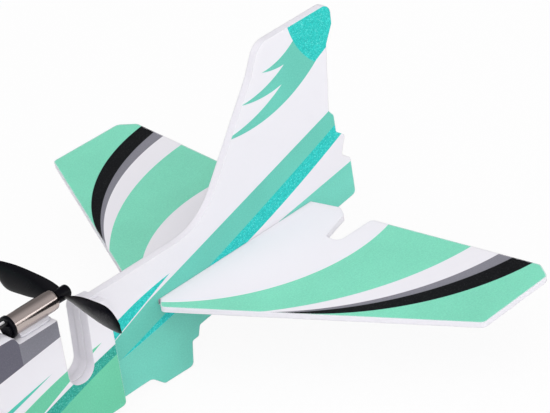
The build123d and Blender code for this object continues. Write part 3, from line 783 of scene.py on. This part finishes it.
# %% Plastic finishes
plain_finish("black_plastic", rgb(3, 3, 9), rgb(12, 12, 18), rough=0.28, spread=0.1,
             grain_scale=4.0, shine=0.1)
plain_finish("white_plastic", rgb(236, 236, 238), rgb(250, 250, 250), rough=0.3, relief=0.1,
             grain_scale=2.5)
plain_finish("knob_plastic", rgb(26, 26, 28), rgb(80, 80, 82), rough=0.45)
plain_finish("socket_plastic", rgb(28, 28, 30), rgb(74, 74, 78), rough=0.5)
plain_finish("lamp_lens", rgb(214, 92, 84), rgb(236, 160, 150), rough=0.12)
plain_finish("board_green", rgb(20, 104, 58), rgb(150, 140, 90), rough=0.3, relief=0.3,
             grain_scale=2.0)
print("finishes so far:", len(finishes))

# %% [markdown]
# ### Metals
# The can is drawn steel: it is the smoothest of the metals, and its grain is stretched
# along the can. The shaft and the bushes are turned, so their grain runs round them. The
# coil's deep, fine grain stands for its strands of wire, and the foil of the cell is
# wavy. The slug is cut from rough bar. The magnet is plated, and the switch and the
# screw are plain bright metal.

# %% Metal finishes
plain_finish("can_steel", rgb(186, 174, 169), rgb(226, 220, 216), metallic=1.0, rough=0.17,
             spread=0.06, relief=0.02, grain=(0.15, 1.0, 1.0), grain_scale=9.0)
plain_finish("shaft_steel", rgb(196, 196, 200), rgb(225, 225, 228), metallic=1.0, rough=0.2,
             grain=(6.0, 1.0, 1.0))
plain_finish("slug_steel", rgb(150, 150, 152), rgb(190, 188, 186), metallic=1.0, rough=0.5,
             relief=0.3)
plain_finish("bush_brass", rgb(214, 180, 104), rgb(236, 214, 160), metallic=1.0, rough=0.3,
             grain=(8.0, 1.0, 1.0))
plain_finish("coil_copper", rgb(196, 112, 70), rgb(222, 160, 124), metallic=1.0, rough=0.35,
             relief=0.5, grain=(0.3, 6.0, 6.0), grain_scale=3.0)
plain_finish("magnet_nickel", rgb(190, 190, 194), rgb(214, 214, 216), metallic=1.0, rough=0.22)
plain_finish("battery_foil", rgb(206, 207, 212), rgb(232, 232, 236), metallic=1.0, rough=0.32,
             relief=0.5, grain_scale=0.6)
plain_finish("switch_metal", rgb(200, 200, 204), rgb(226, 226, 228), metallic=1.0, rough=0.3)
plain_finish("screw_steel", rgb(178, 178, 184), rgb(214, 214, 218), metallic=1.0, rough=0.3)
print("finishes so far:", len(finishes))

# %% [markdown]
# ### Rods, wires, glue and bumper
# The spars are carbon rods, whose fibres run along the wing. The wires' insulation is
# smooth and a little glossy. Hot glue is milky and clear at once: over white foam it
# looks like a slightly darker white, so it needs no transmission. Its grey is also a
# little deeper, which stands in for the soft shade under the can: painted shade. The
# bumper is a soft strip with open cells, dull and rough.

# %% Other finishes
plain_finish("carbon_rod", rgb(22, 22, 24), rgb(60, 60, 62), rough=0.38, relief=0.4,
             grain=(1.0, 0.05, 1.0), grain_scale=6.0)
# Painted shade in part: the glue's grey is deepened for the soft shade under the can.
plain_finish("clear_glue", rgb(224, 224, 230), rgb(238, 238, 243), rough=0.28, relief=0.15,
             grain_scale=0.8)
plain_finish("white_insulation", rgb(232, 232, 232), rgb(246, 246, 246), rough=0.35)
plain_finish("black_insulation", rgb(20, 20, 22), rgb(60, 60, 62), rough=0.35)
plain_finish("red_insulation", rgb(178, 22, 24), rgb(214, 80, 76), rough=0.35)
plain_finish("bumper_foam", rgb(40, 160, 152), rgb(90, 190, 182), rough=0.75, relief=0.6,
             grain_scale=1.4)
print("finishes:", len(finishes))

# %% [markdown]
# ### Giving each piece its finish
# The record names a material slot for every piece, and the finishes have the same
# names, so one loop dresses them all. The printed sheets are left out: their slots have
# no plain finish, and they are printed already.

# %% Dress the pieces
dressed = 0
for entry in frame["record"]["subparts"]:
    finish = finishes.get(entry["material_slot"])
    if finish:
        nodes[entry["node"]].data.materials[0] = finish
        dressed += 1
print("pieces dressed:", dressed)

# %% [markdown]
# ## Glue beside the motor
# The can is stuck down with hot glue, which squeezes out in a soft bead along each side,
# and a dab of it holds the leads where they dive into their slit. A bead has no straight
# line in it, so it is a tube whose radius and place wander a little from ring to ring.
# A curve with a bevel and a radius at each point would do too, but a mesh of rings is
# solid at its ends and shows how such a tube is made.

# %% Tube of rings
def bead_mesh(name, points, radii, sides=14):
    """Closed tube along X through points, with a radius for each."""
    mesh = bpy.data.meshes.new(name)
    shape = bmesh.new()
    rings = []
    for place, radius in zip(points, radii):
        ring = []
        for step in range(sides):
            turn = 2 * math.pi * step / sides
            offset = Vector((0, radius * math.cos(turn), radius * math.sin(turn)))
            ring.append(shape.verts.new(place + offset))
        rings.append(ring)
    for first, second in zip(rings, rings[1:]):
        for step in range(sides):
            after = (step + 1) % sides
            shape.faces.new((first[step], second[step], second[after], first[after]))
    shape.faces.new(rings[0])
    shape.faces.new(list(reversed(rings[-1])))
    bmesh.ops.recalc_face_normals(shape, faces=shape.faces)
    shape.to_mesh(mesh)
    shape.free()
    for face in mesh.polygons:
        face.use_smooth = True
    made = bpy.data.objects.new(name, mesh)
    bpy.context.scene.collection.objects.link(made)
    return made


print("tube maker ready")

# %% [markdown]
# ### The beads
# The wander is made of sine waves, so it is the same in every run, which random numbers
# would only be with a fixed seed. Each wave takes its own step from ring to ring, and a
# phase tells one bead from the next. Towards both ends the radius falls off steeply, and
# that rounds them. The glue stays with the body, so the beads ride the airframe.

# %% Glue beads
WANDER = 0.12
SWELL = 0.08
END_POWER = 6
END_LEAST = 0.02


def glue_bead(name, x0, x1, y, z, size, count, phase):
    """Bead of glue from x0 to x1, with rounded ends and a wandering line."""
    places, radii = [], []
    for index in range(count):
        share = index / (count - 1)
        sideways = math.sin(index * 1.7 + phase) * WANDER * size
        rise = math.sin(index * 0.9) * WANDER * size
        places.append(Vector((x0 + share * (x1 - x0), y + sideways, z + rise)))
        fall = math.sqrt(max(END_LEAST, 1 - (2 * share - 1) ** END_POWER))
        radii.append(size * (1 + SWELL * math.sin(index * 1.1 + 2 * phase)) * fall)
    bead = bead_mesh(name, places, radii)
    bead.data.materials.append(finishes["clear_glue"])
    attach(bead, "airframe")


BEAD_Y = 2.75 * MM
BEAD_RISE = 0.5 * MM
BEAD_R = 0.55 * MM
BEAD_RINGS = 26
bed_low, bed_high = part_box("motor_glue_bed")
bead_z = bed_low[2] + BEAD_RISE
glue_bead("glue_bead_left", bed_low[0], bed_high[0], BEAD_Y, bead_z, BEAD_R, BEAD_RINGS, 1)
glue_bead("glue_bead_right", bed_low[0], bed_high[0], -BEAD_Y, bead_z, BEAD_R, BEAD_RINGS, -1)

DAB_START = 6.3 * MM
DAB_END = 10.9 * MM
DAB_Z = 46.7 * MM
DAB_R = 0.85 * MM
DAB_RINGS = 12
cap_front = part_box("motor_end_cap")[1][0]
glue_bead("glue_dab_leads", cap_front + DAB_START, cap_front + DAB_END, 0.0, DAB_Z, DAB_R, DAB_RINGS, 1)
print("glue laid beside the motor and on the leads")

# %% [markdown]
# ## Studio floor
# The glider stands over a pale matt floor that takes its shadow. A matt floor turns grey
# away from the lamps. So most of what the camera and shiny pieces see of this one is a
# plain white glow, and the rest is the lit floor with the shadow on it. A Light Path
# node tells those rays from the ones that carry light from the floor to the glider.

# %% Floor
FLOOR_HALF = 6.0
FLOOR_GAP = 0.5 * MM
FLOOR_GLOW = 0.92


def pale_floor():
    """Square floor just under the glider."""
    mesh = bpy.data.meshes.new("studio_floor")
    shape = bmesh.new()
    bmesh.ops.create_grid(shape, x_segments=1, y_segments=1, size=FLOOR_HALF)
    shape.to_mesh(mesh)
    shape.free()
    floor = bpy.data.objects.new("studio_floor", mesh)
    bpy.context.scene.collection.objects.link(floor)
    floor.location.z = cad_box[0][2] - FLOOR_GAP
    material = bpy.data.materials.new("studio_floor")
    material.use_nodes = True
    tree = material.node_tree
    shader = tree.nodes["Principled BSDF"]
    shader.inputs["Base Color"].default_value = (0.9, 0.9, 0.9, 1)
    shader.inputs["Roughness"].default_value = 0.9
    glow = node(tree, "Emission", {"Color": (1, 1, 1, 1), "Strength": 1.0})
    path = node(tree, "LightPath")
    seen = calc(tree, "MAXIMUM", path.outputs["Is Camera Ray"], path.outputs["Is Glossy Ray"])
    share = calc(tree, "MULTIPLY", seen, FLOOR_GLOW)
    mix = node(tree, "MixShader", {0: share, 1: shader.outputs[0], 2: glow.outputs[0]})
    tree.links.new(mix.outputs[0], tree.nodes["Material Output"].inputs["Surface"])
    mesh.materials.append(material)


pale_floor()
print("floor laid")

# %% [markdown]
# ## Lamps
# Two soft square lamps stand on the glider's left. The key lamp is high, and the fill
# lamp is low and behind, where it lifts the shade under the tail. A small lamp would
# throw hard shadows, so both are more than half a metre wide. Both look at the body
# just behind the motor.

# %% Lamps
LAMP_TARGET = Vector((-0.12, 0, 0.03))


def soft_lamp(name, place, size, power):
    """Square area lamp that looks at the target."""
    data = bpy.data.lights.new(name, "AREA")
    data.shape = "SQUARE"
    data.size = size
    data.energy = power
    lamp = bpy.data.objects.new(name, data)
    lamp.location = place
    lamp.rotation_euler = (LAMP_TARGET - Vector(place)).to_track_quat("-Z", "Y").to_euler()
    bpy.context.scene.collection.objects.link(lamp)


soft_lamp("key_lamp", (0.5, 0.9, 1.5), 0.9, 3.8)
soft_lamp("fill_lamp", (-1.1, 1.15, 0.38), 0.6, 3.1)
print("lamps set")

# %% [markdown]
# ## Sky
# Most of the light comes from the sky, as from a large bright wall high on the left and
# a little ahead. Its strength grows from the far side to the near side, and a thin dark
# line runs around it just over the horizon. A round metal can shows both as bands along
# its length, which is what makes it look like metal. Even light from all sides would
# leave it flat. The camera, and what is seen through clear pieces, gets a plain white sky.

# %% Sky
LIGHT_SIDE = Vector((0.6, 0.45, 0.66))
NEAR_STRENGTH = 1.38
FAR_STRENGTH = 0.28
NEAR_REACH = 0.95
SKY_TINT = (1.0, 0.985, 1.0, 1)
LINE_RISE = 0.03
LINE_HALF = 0.035


def wall_strength(sky):
    """Strength of the sky by direction: one bright side and a dark horizon line."""
    heading = node(sky, "TexCoord").outputs["Generated"]
    towards = node(sky, "VectorMath", {0: heading, 1: LIGHT_SIDE}, operation="DOT_PRODUCT")
    wall = node(sky, "MapRange", {0: towards.outputs["Value"], 1: 0.0, 2: NEAR_REACH,
                                  3: FAR_STRENGTH, 4: NEAR_STRENGTH},
                interpolation_type="SMOOTHSTEP").outputs[0]
    rise = node(sky, "SeparateXYZ", {0: heading}).outputs["Z"]
    off_line = calc(sky, "ABSOLUTE", calc(sky, "SUBTRACT", rise, LINE_RISE))
    return calc(sky, "MULTIPLY", wall, calc(sky, "GREATER_THAN", off_line, LINE_HALF))


world = bpy.data.worlds.new("studio")
bpy.context.scene.world = world
world.use_nodes = True
sky = world.node_tree
background = sky.nodes["Background"]
background.inputs["Color"].default_value = SKY_TINT
feed(sky, background.inputs["Strength"], wall_strength(sky))
plain = node(sky, "Background", {"Color": (1, 1, 1, 1), "Strength": 1.0})
sky_path = node(sky, "LightPath")
sky_seen = calc(sky, "MAXIMUM", sky_path.outputs["Is Camera Ray"],
                sky_path.outputs["Is Transmission Ray"])
choose = node(sky, "MixShader", {0: sky_seen, 1: background.outputs[0], 2: plain.outputs[0]})
sky.links.new(choose.outputs[0], sky.nodes["World Output"].inputs["Surface"])
print("sky set")

# %% [markdown]
# ## Camera
# The camera looks down on the tail from ahead and to the left, from nearly a metre away
# through a long lens, and is rolled a little. Its place is given in the glider's frame.
# Its turn is a matrix of three axes: right, top and back. They are worked out from the
# line of sight and the roll about it, which is easier to read than three angles.

# %% Camera
CAMERA_PLACE = Vector((312.3, 588.9, 469.9)) * MM
VIEW_DIRECTION = Vector((-0.57226, -0.65774, -0.48979))
ROLL = math.radians(9.5)
LENS = 173.35
SENSOR_WIDTH = 36.0

camera_data = bpy.data.cameras.new("camera")
camera_data.lens = LENS
camera_data.sensor_width = SENSOR_WIDTH
camera_data.sensor_fit = "HORIZONTAL"
camera_data.clip_start = 0.01
camera = bpy.data.objects.new("camera", camera_data)
level = VIEW_DIRECTION.cross(Vector((0, 0, 1))).normalized()
upward = level.cross(VIEW_DIRECTION).normalized()
right = level * math.cos(ROLL) - upward * math.sin(ROLL)
top = upward * math.cos(ROLL) + level * math.sin(ROLL)
turn = Matrix((right, top, -VIEW_DIRECTION)).transposed().to_4x4()
camera.matrix_world = Matrix.Translation(CAMERA_PLACE) @ turn
bpy.context.scene.collection.objects.link(camera)
bpy.context.scene.camera = camera
bpy.context.scene.view_settings.view_transform = "Standard"
print("camera right axis:", [round(value, 4) for value in right])

# %% [markdown]
# ## Sizes
# The finish must not change the size of the glider. The box around the pieces of the solid
# model, measured when they were loaded, is printed here.

# %% Sizes, and the end
print("CAD box:", [tuple(round(v, 4) for v in corner) for corner in cad_box])
